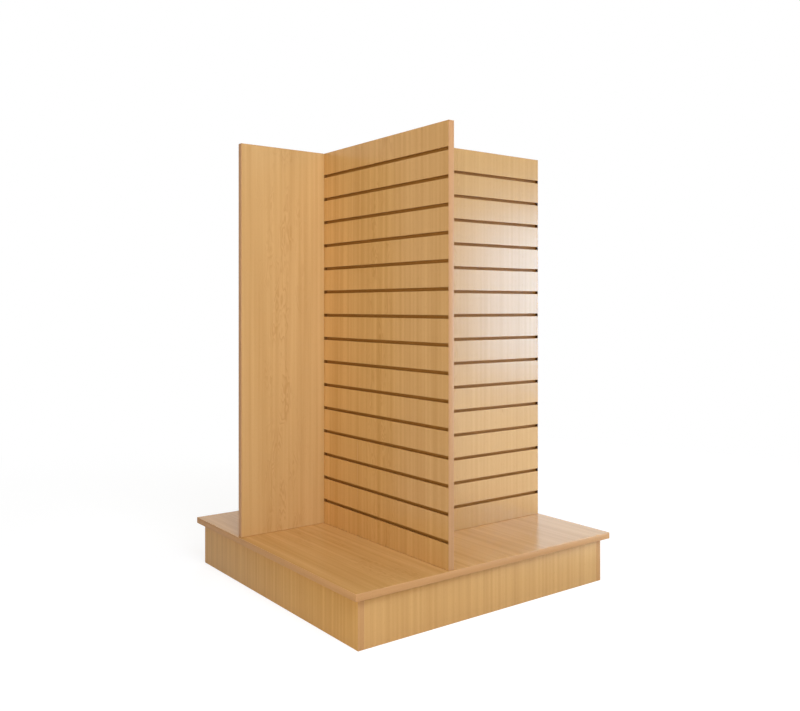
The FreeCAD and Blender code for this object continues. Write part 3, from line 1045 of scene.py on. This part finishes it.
@dataclass
class SlatwallPanels:
    """Four slatwall boards: T-grooves across one face, the other plain, and bands on the end and the top."""

    slats: int = 16
    mouth: float = 9.5 * MM
    lip: float = 5.5 * MM
    cavity: float = 19.5 * MM
    depth: float = 11.0 * MM
    ease: float = 0.35 * MM
    foot_ease: float = 0.9 * MM
    band_ease: float = 0.4 * MM
    # painted light and shade: each board's tint of the same print is fitted to how light falls on the side
    # that it faces
    tints: Colours = ((1.09, 1.09, 1.07), (0.92, 0.97, 1.08), (1.0, 1.0, 1.05), (0.96, 1.025, 1.18))
    # painted light: each board's lean of brightness across its width
    drifts: tuple[float, ...] = (0.2, 0.0, 0.0, 0.0)
    streaks: tuple[float, ...] = (0.5, 0.34, 0.45, 0.45)
    bands_seen: tuple[float, ...] = (0.1, 0.04, 0.22, 0.22)
    hearts: Points = ((-0.17, -0.16, 0.2), (0.05, -0.17, 1.6), (0.17, 0.2, 1.1), (-0.33, 0.17, 0.95))
    knots: Points = ((-0.17, -0.062, 1.357), (0.31, -0.17, 0.52), (0.17, 0.3, 0.9), (-0.325, 0.17, 0.191))

    def build(self) -> None:
        """Builds and dresses the four boards and their bands."""
        tree = self.tree()
        routed = PressedBoard("routed_board", roughness=0.5, mirror=0.07).material()
        tones = {"light": (0.10, 0.04, 0.01), "dark": (0.05, 0.02, 0.005)}
        glue = PressedBoard("glue_side", roughness=0.7, mirror=0.05, **tones).material()
        for side in Side:
            self.board(side, tree, routed)
            self.band(f"slatwall_end_band_{side.word}", side.outward, side.upright, side.value, glue)
            level = Grain.LEVEL_ALONG_Y if side.outward[0] else Grain.LEVEL_ALONG_X
            self.band(f"slatwall_top_band_{side.word}", (2, 1), level, side.value, glue)

    def foil(self, side: Side) -> Woodgrain:
        """The foil of one board, each with its own stretch of the print.

        Args:
            side: The side that the board's wing is on.

        Returns:
            The finish.
        """
        low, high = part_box("slatwall_front")
        butted = Vector(((low.x + high.x) / 2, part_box("slatwall_left")[0].y, (low.z + high.z) / 2))
        name, number = f"slatwall_foil_{side.word}", side.value
        return Woodgrain(
            name,
            side.next.upright,
            stretch=(3.1 * number + 0.7, 1.7 * number, 5.3 * number),
            roughness=0.25,
            # painted light and shade: the tint makes this board lighter, darker or bluer than the others
            tint=self.tints[number],
            streaks=self.streaks[number],
            bands=self.bands_seen[number],
            figure=0.34,
            heart=self.hearts[number],
            knot=self.knots[number],
            knot_size=3.5 * MM,
            # painted light across the board
            drift=self.drifts[number],
            # painted shade on the strip where another board butts on this one
            joint=tuple(side.next.turn @ butted),
        )

    def sizes(self) -> dict[str, object]:
        """The inputs of the boards' tree, from the CAD node of the front board and the class's own fields.

        Returns:
            The inputs by name.
        """
        low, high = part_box("slatwall_front")
        pitch = (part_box("slatwall_top_band_front")[1].z - low.z) / self.slats
        return {
            "Length": high.y - low.y,
            "Height": high.z - low.z,
            "Thickness": high.x - low.x,
            "Pitch": pitch,
            "Lowest": pitch,
            "Grooves": self.slats - 1,
            "Origin": ORIGIN,
            "Turn": ORIGIN,
            "Foil": Kind.MATERIAL,
            "Board": Kind.MATERIAL,
        } | labelled(self, "Mouth", "Cavity", "Lip", "Depth", "Ease", "Foot Ease")

    def tree(self) -> Tree:
        """The tree of one slatwall board: its notched outline, drawn out along its length.

        Returns:
            The tree. The board's inner end is at the origin, its length runs along X and its depth along Y.
        """
        w = Shaping("slatwall_board", self.sizes())
        lip, depth, ease, foot = (w.given[label] for label in ("Lip", "Depth", "Ease", "Foot Ease"))
        height, thickness = w.given["Height"], w.given["Thickness"]
        half_mouth, half_cavity = w.given["Mouth"] * 0.5, w.given["Cavity"] * 0.5
        round_in = ease * (1.0 - math.sqrt(0.5))
        upper = [
            (depth, half_cavity),
            (lip, half_cavity),
            (lip, half_mouth),
            (ease, half_mouth),
            (round_in, half_mouth + round_in),
            (0.0, half_mouth + ease),
        ]
        notch = [(into, rise * -1.0) for into, rise in reversed(upper)] + upper
        corners = [
            w.point(0.0, height),
            w.point(thickness, height),
            w.point(thickness, foot),
            w.point(thickness - foot, 0.0),
            w.point(foot, 0.0),
            w.point(0.0, foot),
        ]
        count = float(len(notch))
        index = w.index()
        number = w.math("FLOOR", (index + 0.5) / count)
        into, rise = (w.choose("FLOAT", index - number * count, items) for items in zip(*notch))
        on_groove = w.point(into, w.given["Lowest"] + number * w.given["Pitch"] + rise)
        points = w.given["Grooves"] * count
        on_corner = w.choose("VECTOR", index - points, corners)
        past = w.above(index, points - 0.5)
        inputs = {"Switch": past, "False": on_groove, "True": on_corner}
        place = w.value("GeometryNodeSwitch", inputs, input_type="VECTOR")
        outline = w.path(points + float(len(corners)), place)
        outline = w.value("GeometryNodeSetSplineCyclic", {"Geometry": outline, "Cyclic": True})
        length = w.value("GeometryNodeCurvePrimitiveLine", {"End": w.point(z=w.given["Length"])})
        board = w.value("GeometryNodeFlipFaces", {"Mesh": w.swept(length, outline)})
        board = w.moved(board, turn=(QUARTER, 0.0, QUARTER))

        deep = w.parts(w.value("GeometryNodeInputPosition"))[1]
        facing = w.parts(w.value("GeometryNodeInputNormal"))[1]
        flat = w.above(w.math("ABSOLUTE", facing), 0.99)
        on_face = w.math("MAXIMUM", w.below(deep, HAIR), w.above(deep, thickness - HAIR))
        captured = w.node("GeometryNodeCaptureAttribute", {"Geometry": board}, domain="FACE")
        captured.capture_items.new("FLOAT", "foiled")
        w.feed(captured.inputs["foiled"], flat * on_face)
        board, foiled = (Value(w, captured.outputs[name]) for name in ("Geometry", "foiled"))
        turn = w.value("FunctionNodeEulerToRotation", {"Euler": w.given["Turn"]})
        bare = w.dressed(w.moved(board, w.given["Origin"], turn), "Board")
        inputs = {"Geometry": bare, "Selection": foiled, "Material": w.given["Foil"]}
        return w.done({"Geometry": w.value("GeometryNodeSetMaterial", inputs)})

    def board(self, side: Side, tree: Tree, routed: Material) -> None:
        """Grows one board where its CAD node stands.

        Args:
            side: The side that the board's wing is on.
            tree: The boards' tree.
            routed: The finish of its grooves and cut edges.
        """
        low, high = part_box("slatwall_front")
        values = self.sizes() | {
            "Origin": tuple(side.turn @ Vector((low.x, high.y, low.z))),
            "Turn": (0.0, 0.0, (side.value - 1) * QUARTER),
            "Foil": self.foil(side).material(),
            "Board": routed,
        }
        mesh = grow(f"slatwall.{side.word}", tree, values)
        mesh.shade_flat()
        settle(mesh, node=f"slatwall_{side.word}", slot="woodgrain")

    def band(self, node: str, outward: Face, grain: Grain, number: int, glue: Material) -> None:
        """Makes one band of a board.

        Args:
            node: The CAD node.
            outward: The side that its outer face is on.
            grain: How its grain lies.
            number: The board's number, which picks the stretch of the print.
            glue: The finish of its inner face.
        """
        mesh = eased_copy(node, self.band_ease, outward)
        axis, sign = outward
        for face in mesh.polygons:
            face.material_index = int(face.normal[axis] * sign < -0.9)
        foil = BandFoil(node + "_foil", grain, 1.3 * number + 0.4, tint=(0.78, 0.74, 0.84))
        settle(mesh, foil.material(), glue, node=node, slot="edge_band")


@dataclass
class Deck:
    """The deck board with its four edge bands."""

    band_ease: float = 0.6 * MM
    band_tints: Colours = ((0.85, 0.81, 0.84), (0.86, 0.83, 0.86), (0.86, 0.83, 0.86), (0.87, 0.82, 0.80))

    def build(self) -> None:
        """Dresses the board, which keeps its CAD shape, and makes its bands."""
        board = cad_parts["deck_board"]
        foil = Woodgrain(
            "deck_foil",
            Grain.LEVEL_ALONG_Y,
            stretch=(11.3, 4.1, 8.7),
            roughness=0.22,
            mirror=0.2,
            tint=(1.02, 1.025, 1.015),
            streaks=0.58,
            figure=0.3,
            heart=(-0.3, -0.5, 0.15),
        )
        board.material_slots[0].material = foil.material()
        log.info("%s: dressed", board.name)
        for side in Side:
            node = f"deck_band_{side.word}"
            tint = self.band_tints[side.value]
            foil = BandFoil(node + "_foil", side.along, 2.1 * side.value + 0.9, tint=tint)
            mesh = eased_copy(node, self.band_ease, side.outward)
            settle(mesh, foil.material(), node=node, slot="edge_band")


@dataclass
class Plinth:
    """The plinth's boards and bands, and the blocks and rails inside it."""

    board_ease: float = 0.4 * MM
    block_ease: float = 1.5 * MM
    rail_ease: float = 0.8 * MM
    # painted light and shade: each board's tint of the same print is fitted to how light falls on the side
    # that it faces
    tints: Colours = ((0.955, 0.975, 1.04), (1.0, 1.0, 1.0), (1.0, 1.0, 1.0), (1.05, 1.03, 0.92))
    streaks: tuple[float, ...] = (0.46, 0.6, 0.6, 0.56)
    bands: float = 0.06
    # how dark the painted shadow under the deck's overhang is on each side
    unwiped: tuple[float, ...] = (0.34, 0.15, 0.15, 0.05)

    def build(self) -> None:
        """Builds and dresses them all."""
        for side in Side:
            self.board(side)
            rail = f"rail_{side.word}"
            self.wooden(rail, self.rail_ease, side.along, 0.6 * side.value)
        for corner in Corner:
            x, y = corner.value
            band = f"plinth_band_{corner.word}"
            shift = 1.1 + x * 0.3 + y * 0.5
            foil = BandFoil(band + "_foil", Grain.UPRIGHT_ACROSS_X, shift, tint=(0.82, 0.78, 0.75))
            mesh = eased_copy(band, self.board_ease, (1, y))
            settle(mesh, foil.material(), node=band, slot="edge_band")
            block = f"corner_block_{corner.word}"
            self.wooden(block, self.block_ease, Grain.UPRIGHT_ACROSS_X, x * 2.0 + y)

    def board(self, side: Side) -> None:
        """Makes one outer board, with its grain upright.

        Args:
            side: The side that it is on.
        """
        node = f"plinth_board_{side.word}"
        foil = Woodgrain(
            node + "_foil",
            side.upright,
            stretch=(2.7 * side.value + 6.1, 3.3, 1.9 * side.value),
            roughness=0.45,
            mirror=0.12,
            # painted light and shade in the tint, and a painted shadow under the deck
            tint=self.tints[side.value],
            streaks=self.streaks[side.value],
            bands=self.bands,
            unwiped=self.unwiped[side.value],
            unwiped_top=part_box(node)[1].z,
        )
        settle(eased_copy(node, self.board_ease), foil.material(), node=node, slot="woodgrain")

    def wooden(self, node: str, reach: float, grain: Grain, shift: float) -> None:
        """Makes one block or rail of softwood, its edges rounded over by the reach."""
        finish = Softwood(node + "_wood", grain, shift).material()
        settle(eased_copy(node, reach), finish, node=node, slot="softwood")


@dataclass
class LevellingFeet:
    """Four feet, each a nut plate, a threaded stem with a hexagon, and a nylon pad on the stem's button.

    The pad's heights are from the floor.
    """

    button_radius: float = 5.0 * MM
    button_height: float = 3.0 * MM
    neck_radius: float = 3.0 * MM
    hexagon_height: float = 6.0 * MM
    thread_radius: float = 4.0 * MM
    thread_length: float = 40.0 * MM
    pitch: float = 1.25 * MM
    ridge: float = 0.55 * MM
    chamfer: float = 0.6 * MM
    rim_height: float = 4.0 * MM
    top_radius: float = 9.0 * MM
    sole: float = 3.0 * MM
    socket_radius: float = 5.1 * MM
    socket_top: float = 6.1 * MM
    mouth_radius: float = 3.1 * MM
    round: float = 0.8 * MM
    plate_ease: float = 0.5 * MM
    hexagon_sides: int = 6
    thread_sides: int = 24
    stem_sides: int = 32
    pad_sides: int = 48
    hexagon_end: float = 0.93

    def build(self) -> None:
        """Builds and dresses the feet. Pads and stems ride on their own bodies."""
        steel, nylon = ZincPlate("foot_zinc").material(), MouldedNylon("foot_nylon").material()
        stem_tree, pad_tree = self.stem_tree(), self.pad_tree()
        for corner in Corner:
            stem, pad = f"leveler_stem_{corner.word}", f"leveler_pad_{corner.word}"
            low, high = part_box(stem)
            hexagon_top = high.z - self.thread_length
            values = {
                "Button Bottom": low.z,
                "Button Top": low.z + self.button_height,
                "Hexagon Bottom": hexagon_top - self.hexagon_height,
                "Hexagon Top": hexagon_top,
                "Hexagon Corner": (high.x - low.x) / 2,
                "Thread Top": high.z,
                "Origin": ((low.x + high.x) / 2, (low.y + high.y) / 2, 0.0),
                "Metal": steel,
            }
            mesh = grow(stem + ".threaded", stem_tree, values)
            settle(shaded(mesh, 30.0), node=stem, slot="zinc_steel", body=stem)
            low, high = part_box(pad)
            middle = ((low.x + high.x) / 2, (low.y + high.y) / 2, low.z)
            values = {"Rim Radius": (high.x - low.x) / 2, "Height": high.z - low.z}
            mesh = grow(pad + ".moulded", pad_tree, values | {"Origin": middle, "Body": nylon})
            settle(shaded(mesh, 40.0), node=pad, slot="nylon", body=pad)
            plate = f"nut_plate_{corner.word}"
            settle(eased_copy(plate, self.plate_ease), steel, node=plate, slot="zinc_steel")

    def stem_tree(self) -> Tree:
        """The tree of one stem: button, neck, chamfered hexagon and thread.

        Returns:
            The tree.
        """
        ends = ("Button Bottom", "Button Top", "Hexagon Bottom", "Hexagon Top")
        from_cad = (*ends, "Hexagon Corner", "Thread Top")
        own = ("Button Radius", "Neck Radius", "Thread Radius", "Pitch", "Ridge", "Chamfer")
        sizes = dict.fromkeys(from_cad, 0.0) | labelled(self, *own)
        w = Shaping("levelling_stem", sizes | {"Origin": ORIGIN, "Metal": Kind.MATERIAL})
        button_low, button_high, low, high, corner, top = (w.given[label] for label in from_cad)
        button, neck, thread, pitch, ridge, edge = (w.given[label] for label in own)
        foot = w.turned(
            self.stem_sides,
            (button - edge, button_low),
            (button, button_low + edge),
            (button, button_high - edge),
            (button - edge, button_high),
            (neck, button_high + HAIR),
            (neck, low + HAIR),
        )
        prism = w.turned(self.hexagon_sides, (corner, low), (corner, high))
        limit = w.turned(
            self.stem_sides,
            (corner * self.hexagon_end, low - HAIR),
            (corner + HAIR, low + edge),
            (corner + HAIR, high - edge),
            (corner * self.hexagon_end, high + HAIR),
        )
        core = thread - ridge
        rod = w.turned(self.thread_sides, (core, high - HAIR), (core, top - edge), (core - edge, top))
        ridges = w.thread(core, high + pitch, top - high - pitch * 2.0, pitch, ridge)
        whole = w.joined(foot, w.common(prism, limit), rod, ridges)
        return w.done({"Geometry": w.dressed(w.moved(whole, w.given["Origin"]), "Metal")})

    def pad_tree(self) -> Tree:
        """The tree of one pad: a rounded foot with a sloping top, and the socket for the stem's button.

        Returns:
            The tree.
        """
        own = ("Rim Height", "Top Radius", "Sole", "Socket Radius", "Socket Top", "Mouth Radius", "Round")
        sizes = {"Rim Radius": 0.0, "Height": 0.0, "Origin": ORIGIN, "Body": Kind.MATERIAL}
        w = Shaping("levelling_pad", sizes | labelled(self, *own))
        rim, height = w.given["Rim Radius"], w.given["Height"]
        rim_height, top, sole, socket, socket_top, mouth, soft = (w.given[label] for label in own)
        slight = soft * 0.3
        outside = w.turned(
            self.pad_sides,
            (rim - soft, 0.0),
            (rim - slight, slight),
            (rim, soft),
            (rim, rim_height - soft),
            (rim - slight, rim_height - slight),
            (rim - soft * 1.6, rim_height + slight),
            (top + soft, height - soft),
            (top, height - slight),
            (top - soft, height),
        )
        shaft = [(mouth, socket_top + HAIR), (mouth, height + MM)]
        inside = w.turned(self.stem_sides, (socket, sole), (socket, socket_top), *shaft)
        whole = w.moved(w.cut(outside, inside), w.given["Origin"])
        return w.done({"Geometry": w.dressed(whole, "Body")})


@dataclass
class Screws:
    """One kind of screw: the CAD node that holds its places, its head and its sizes.

    The core, the tip and the point are shares of the radius, the cross's arms shares of the head's.
    """

    CORE = 0.74
    TIP = 2.2
    POINT = 0.12
    ARMS = ((1.15, 0.26), (0.26, 1.15))
    SIDES = 20

    node: str
    head: Head
    length: float
    radius: float
    head_radius: float
    head_height: float
    pitch: float

    def tree(self) -> Tree:
        """The tree of this screw on its points: turned body, cross recess and thread.

        Returns:
            The tree. A screw runs along Z, from the top of its head to its tip.
        """
        sizes = labelled(self, "Length", "Radius", "Head Radius", "Head Height", "Pitch")
        w = Shaping(f"{self.head.name.lower()}_screws", sizes | {"Metal": Kind.MATERIAL})
        length, radius, pitch = w.given["Length"], w.given["Radius"], w.given["Pitch"]
        wide, high = w.given["Head Radius"], w.given["Head Height"]
        core, tip = radius * self.CORE, radius * self.TIP
        rings = [(wide * across, high * down) for across, down in self.head.value]
        if self.head is Head.COUNTERSUNK:
            rings.append((radius, high * 0.98))
        end = (core * self.POINT, length)
        turned = w.turned(self.SIDES, *rings, (core, high), (core, length - tip), end)
        slots = []
        for long_x, long_y in self.ARMS:
            size = w.point(wide * long_x, wide * long_y, high * 1.1)
            slots.append(w.value("GeometryNodeMeshCube", {"Size": size}))
        ridges = w.thread(core, high + pitch, length - high - tip * 1.25, pitch, radius - core)
        screws = w.on_points(w.joined(w.cut(turned, *slots), ridges))
        return w.done({"Geometry": w.dressed(screws, "Metal")})

    def build(self, metal: Material) -> None:
        """Grows every screw of the node as one piece."""
        mesh = grow(self.node + ".threaded", self.tree(), {"Metal": metal}, fastener_points(self.node))
        settle(shaded(mesh, 30.0), node=self.node, slot="zinc_steel")


@dataclass
class Dowels:
    """Fluted beech dowels: the CAD node that holds their places, and their sizes."""

    node: str
    length: float = 30.0 * MM
    radius: float = 4.0 * MM
    flutes: int = 16
    chamfer: float = 1.0 * MM
    groove: float = 0.93
    taper: float = 0.82

    def tree(self) -> Tree:
        """The tree of the dowels on their points: a fluted outline with tapered ends.

        Returns:
            The tree.
        """
        sizes = labelled(self, "Length", "Radius", "Flutes", "Chamfer") | {"Wood": Kind.MATERIAL}
        w = Shaping("dowels", sizes)
        length, radius, chamfer = w.given["Length"], w.given["Radius"], w.given["Chamfer"]
        inputs = {"Points": w.given["Flutes"], "Inner Radius": radius * self.groove, "Outer Radius": radius}
        levels = [0.0, chamfer, length - chamfer, length]
        path = w.path(len(levels), w.point(z=w.choose("FLOAT", w.index(), levels)))
        taper = w.choose("FLOAT", w.index(), [self.taper, 1.0, 1.0, self.taper])
        dowel = w.swept(path, w.value("GeometryNodeCurveStar", inputs), taper)
        return w.done({"Geometry": w.dressed(w.on_points(dowel), "Wood")})

    def build(self, wood: Material) -> None:
        """Grows every dowel of the node as one piece."""
        mesh = grow(self.node + ".fluted", self.tree(), {"Wood": wood}, fastener_points(self.node))
        settle(mesh, node=self.node, slot="beech")


@dataclass
class Fastenings:
    """Everything that holds the boards together: screws, dowels and steel angles."""

    angle_ease: float = 0.35 * MM

    def build(self) -> None:
        """Builds and dresses them all."""
        metal = ZincPlate("screw_zinc", roughness=0.26).material()
        sheet = ZincPlate("angle_zinc", roughness=0.36).material()
        for node, head, millimetres in (
            ("foot_screws", Head.COUNTERSUNK, (50.0, 3.0, 5.0, 3.5, 2.4)),
            ("corner_block_screws", Head.COUNTERSUNK, (55.0, 2.0, 4.0, 2.4, 1.8)),
            ("deck_angle_screws", Head.PAN, (15.8, 2.0, 3.8, 1.8, 1.6)),
            ("core_angle_screws", Head.PAN, (15.8, 2.0, 3.8, 1.8, 1.6)),
        ):
            Screws(node, head, *(size * MM for size in millimetres)).build(metal)
        beech = Softwood("dowel_beech", Grain.LEVEL_ALONG_X, 4.0).material()
        for node in ("rail_dowels", "panel_dowels"):
            Dowels(node).build(beech)
        for node in ("deck_angles", "core_angles"):
            settle(softened_copy(node, self.angle_ease), sheet, node=node, slot="zinc_steel")


# ---- the studio ----


@dataclass(frozen=True)
class Softbox:
    """A rectangular lamp that looks at a point. It may light surfaces, show in their gloss, or both."""

    name: str
    place: Point
    target: Point
    size: tuple[float, float]
    power: float
    tint: Colour = (1.0, 1.0, 1.0)
    lights: bool = True
    mirrored: bool = True

    def build(self) -> None:
        """Puts the lamp into the scene."""
        light = bpy.data.lights.new(self.name, "AREA")
        light.shape = "RECTANGLE"
        light.size, light.size_y = self.size
        light.energy = self.power
        light.color = self.tint
        lamp = bpy.data.objects.new(self.name, light)
        lamp.location = self.place
        lamp.visible_camera = False
        lamp.visible_diffuse = self.lights
        lamp.visible_glossy = self.mirrored
        lamp.rotation_euler = (Vector(self.target) - Vector(self.place)).to_track_quat("-Z", "Y").to_euler()
        bpy.context.scene.collection.objects.link(lamp)
        log.info("lamp %s: %.0f W", self.name, self.power)


@dataclass
class Studio:
    """Camera, floor, lamps and world. The sheens are lamps that only show in gloss."""

    eye: Point = (-1.651, -2.222, 0.866)
    yaw: float = -36.88
    lens: float = 38.0
    film: float = 36.0
    shift_y: float = -0.0609
    floor_radius: float = 9.0
    floor_sides: int = 96
    floor_gap: float = 0.2 * MM
    shade_ring: tuple[float, float] = (1.2, 3.0)
    glow: float = 0.80
    shaded: tuple[float, float] = (0.30, 0.31)
    bounced: tuple[float, float] = (0.78, 0.80)
    mottling: Point = (2.0, 2.0, 2.0)
    world: float = 0.03
    lamps: tuple[Softbox, ...] = (
        Softbox("front_left", (-1.6, -3.6, 1.3), (0.0, 0.0, 0.7), (1.8, 1.8), 34.0, (0.83, 0.88, 1.0)),
        Softbox("high", (-0.9, -3.1, 3.0), (0.0, 0.0, 0.7), (1.4, 1.4), 80.0, (0.70, 0.81, 1.0)),
        Softbox("left", (-3.0, -2.8, 0.9), (0.0, 0.0, 0.7), (1.8, 1.8), 38.0, (1.0, 0.91, 0.74)),
        Softbox("far_left", (-4.4, -1.6, 1.0), (0.0, 0.0, 0.8), (1.8, 1.8), 20.0, (1.0, 0.86, 0.65)),
        Softbox("right", (3.9, -0.9, 0.8), (0.0, 0.0, 0.5), (1.8, 1.5), 115.0, (0.90, 1.0, 0.94)),
        Softbox("top", (-0.6, -1.2, 3.6), (0.0, 0.0, 0.7), (2.4, 2.4), 46.0, (1.0, 0.91, 0.79)),
        Softbox("back_right", (2.2, 3.6, 1.9), (0.0, 0.0, 0.7), (2.2, 2.2), 60.0, mirrored=False),
        Softbox("back_left", (-3.0, 2.8, 1.9), (0.0, 0.0, 0.7), (2.2, 2.2), 20.0, mirrored=False),
        Softbox("low_right", (1.6, -2.4, 0.3), (0.3, -0.2, 0.3), (0.9, 0.5), 5.0, (1.0, 0.95, 0.85)),
    )
    sheens: tuple[Softbox, ...] = (
        Softbox("window", (2.677, -1.941, 0.94), (0.25, -0.178, 0.94), (1.4, 1.1), 103.0, (0.41, 0.68, 1.0)),
        Softbox("lit_floor", (1.56, -1.45, 0.13), (1.46, -1.35, 1.13), (0.8, 2.3), 26.0, (1.0, 0.92, 0.72)),
        Softbox("far_window", (2.9, 1.9, 1.05), (0.35, -0.40, 0.15), (1.6, 1.2), 4.4, (0.55, 0.80, 1.0)),
        Softbox("far_wall", (0.75, 2.42, 0.87), (-0.4, 0.25, 0.15), (1.6, 1.2), 2.4, (1.0, 0.4, 0.0)),
    )

    def build(self) -> None:
        """Sets the whole studio up."""
        scene = bpy.context.scene
        scene.view_settings.view_transform = "Standard"
        data = bpy.data.cameras.new("camera")
        data.sensor_width = self.film
        data.lens = self.lens
        data.shift_y = self.shift_y
        camera = bpy.data.objects.new("camera", data)
        camera.location = self.eye
        camera.rotation_euler = (QUARTER, 0.0, math.radians(self.yaw))
        scene.collection.objects.link(camera)
        scene.camera = camera
        self.lay_floor()
        self.light_world()
        for lamp in self.lamps:
            lamp.build()
        for sheen in self.sheens:
            replace(sheen, lights=False).build()

    def lay_floor(self) -> None:
        """Lays a pale round floor that fades to white at its rim and keeps the stand's soft shadow."""
        shape = bmesh.new()
        bmesh.ops.create_circle(shape, cap_ends=True, segments=self.floor_sides, radius=self.floor_radius)
        mesh = kept(shape, "studio_floor")
        mesh.materials.append(self.floor_material())
        floor = bpy.data.objects.new(mesh.name, mesh)
        floor.location.z = -self.floor_gap
        bpy.context.scene.collection.objects.link(floor)

    def floor_material(self) -> Material:
        """White to the camera save where the stand shades it, and pale to the light it sends back.

        Returns:
            The material.
        """
        material = bpy.data.materials.new("studio_floor")
        material.use_nodes = True
        w = Wiring(material.node_tree)
        w.tree.nodes.clear()
        w.place = w.value("ShaderNodeTexCoord", output="Object")
        away = w.vector("LENGTH", w.vector("MULTIPLY", w.place, (1.0, 1.0, 0.0)))
        rim = w.rise(away, *self.shade_ring)
        mottle = w.noise(self.mottling, 2.0)
        white, part = (w.value("ShaderNodeEmission", {0: WHITE, 1: share}) for share in (1.0, self.glow))
        shaded, bounce = (
            w.value("ShaderNodeBsdfDiffuse", {"Color": w.blend(mottle, grey(low), grey(high))})
            for low, high in (self.shaded, self.bounced)
        )
        seen = w.value("ShaderNodeAddShader", {0: part, 1: shaded})
        seen = w.value("ShaderNodeMixShader", {0: rim, 1: seen, 2: white})
        ray = w.outputs("ShaderNodeLightPath")
        mirrored = w.math("MAXIMUM", ray["Is Glossy Ray"], ray["Is Transmission Ray"])
        other = w.value("ShaderNodeMixShader", {0: mirrored, 1: bounce, 2: white})
        final = w.value("ShaderNodeMixShader", {0: ray["Is Camera Ray"], 1: other, 2: seen})
        w.node("ShaderNodeOutputMaterial", {"Surface": final})
        return material

    def light_world(self) -> None:
        """Makes the world white to the camera and in reflections, with an even soft light for all else."""
        world = bpy.data.worlds.new("studio")
        bpy.context.scene.world = world
        world.use_nodes = True
        w = Wiring(world.node_tree)
        w.tree.nodes.clear()
        ray = w.outputs("ShaderNodeLightPath")
        seen = w.math("MAXIMUM", ray["Is Camera Ray"], ray["Is Glossy Ray"])
        seen = w.math("MAXIMUM", seen, ray["Is Transmission Ray"])
        soft, white = (w.value("ShaderNodeBackground", {0: WHITE, 1: share}) for share in (self.world, 1.0))
        final = w.value("ShaderNodeMixShader", {0: seen, 1: soft, 2: white})
        w.node("ShaderNodeOutputWorld", {"Surface": final})


def main() -> None:
    """Builds the studio, then the stand part by part."""
    logging.basicConfig(level=logging.INFO, format="%(name)s: %(message)s")
    Studio().build()
    SlatwallPanels().build()
    Deck().build()
    Plinth().build()
    LevellingFeet().build()
    Fastenings().build()


if __name__ == "__main__":
    main()
